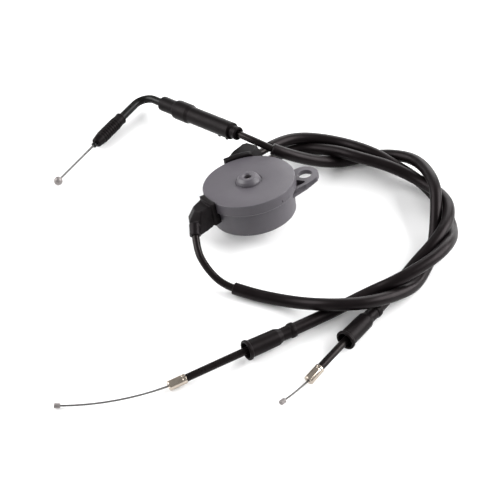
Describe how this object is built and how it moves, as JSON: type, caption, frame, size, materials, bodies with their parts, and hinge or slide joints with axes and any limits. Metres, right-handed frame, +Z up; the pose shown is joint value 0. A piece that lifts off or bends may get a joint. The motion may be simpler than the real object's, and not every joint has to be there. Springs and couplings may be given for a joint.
{
  "type": "throttle cable splitter",
  "caption": "Round throttle cable splitter drum with a bolt lug, an input cable with a bent elbow and ball nipple, and output cables with rubber boots, metal ferrules and bare wires.",
  "frame": {"origin": "on the ground, under the middle of the drum with its lug and outlet blocks", "axes": "+Z up, +X from the elbow side towards the loop of cables, +Y away from the bare output wires"},
  "size_m": [0.2562, 0.2578, 0.0373],
  "materials": {
    "drum_plastic": "satin purple-grey moulded plastic",
    "pulley_plastic": "smooth white moulded plastic",
    "block_plastic": "satin black moulded plastic",
    "casing_black": "smooth black sheath",
    "sleeve_black": "satin black flexible tube",
    "boot_rubber": "satin black moulded rubber",
    "elbow_metal": "satin black coated tube",
    "plated_steel": "bright warm plating",
    "wire_steel": "stranded steel wire",
    "cast_nipple": "dull cast metal"
  },
  "bodies": {
    "splitter": {"drum_housing": "drum_plastic", "drum_cover": "drum_plastic", "pulley_pin": "plated_steel", "input_plug": "block_plastic", "output_plug": "block_plastic", "grip_lead": "wire_steel", "carb_lead": "wire_steel", "pump_lead": "wire_steel", "grip_casing": "casing_black", "grip_sleeve": "sleeve_black", "carb_casing": "casing_black", "carb_sleeve": "sleeve_black", "pump_casing": "casing_black", "pump_sleeve": "sleeve_black", "adjuster_boot": "boot_rubber", "adjuster_screw": "plated_steel", "adjuster_nut": "plated_steel", "adjuster_barrel": "plated_steel", "elbow_tube": "elbow_metal", "elbow_tip": "boot_rubber", "elbow_cap": "elbow_metal", "carb_ferrule": "plated_steel", "pump_ferrule": "plated_steel"},
    "pulley": {"drum_pulley": "pulley_plastic", "grip_barrel": "cast_nipple", "grip_wrap": "wire_steel", "carb_barrel": "cast_nipple", "carb_wrap": "wire_steel", "pump_barrel": "cast_nipple", "pump_wrap": "wire_steel"},
    "grip_end": {"grip_wire": "wire_steel", "grip_ball": "cast_nipple"},
    "carb_end": {"carb_wire": "wire_steel", "carb_nipple": "cast_nipple"},
    "pump_end": {"pump_wire": "wire_steel", "pump_nipple": "cast_nipple"},
    "carb_cover": {"carb_boot": "boot_rubber"},
    "pump_cover": {"pump_boot": "boot_rubber"}
  },
  "joints": [
    {"name": "pulley_spin", "type": "hinge", "parent": "splitter", "child": "pulley", "pos_m": [0.0001, -0.0075, 0.0072], "axis": [-0.1718, 0.2025, 0.9641], "range_deg": [0, 39]},
    {"name": "grip_pull", "type": "slide", "parent": "splitter", "child": "grip_end", "axis": [-0.5434, -0.8384, -0.0423], "range_m": [0, 0.0152]},
    {"name": "carb_pull", "type": "hinge", "parent": "splitter", "child": "carb_end", "pos_m": [-0.1125, 0.00649, 0.03899], "axis": [0.027, -0.2238, 0.9742], "range_deg": [0, 5.3]},
    {"name": "pump_pull", "type": "hinge", "parent": "splitter", "child": "pump_end", "pos_m": [-0.06221, -0.05956, 0.07382], "axis": [0.3069, -0.4119, 0.858], "range_deg": [0, 6.2]},
    {"name": "carb_boot_slide", "type": "slide", "parent": "splitter", "child": "carb_cover", "axis": [-0.8452, -0.5315, 0.0558], "range_m": [0, 0.008]},
    {"name": "pump_boot_slide", "type": "slide", "parent": "splitter", "child": "pump_cover", "axis": [-0.6122, -0.7885, 0.0594], "range_m": [0, 0.008]}
  ],
  "couplings": [
    {"joint": "grip_pull", "follows": "pulley_spin", "m_per_rad": 0.022},
    {"joint": "carb_pull", "follows": "pulley_spin", "ratio": 0.13333},
    {"joint": "pump_pull", "follows": "pulley_spin", "ratio": 0.15714}
  ]
}
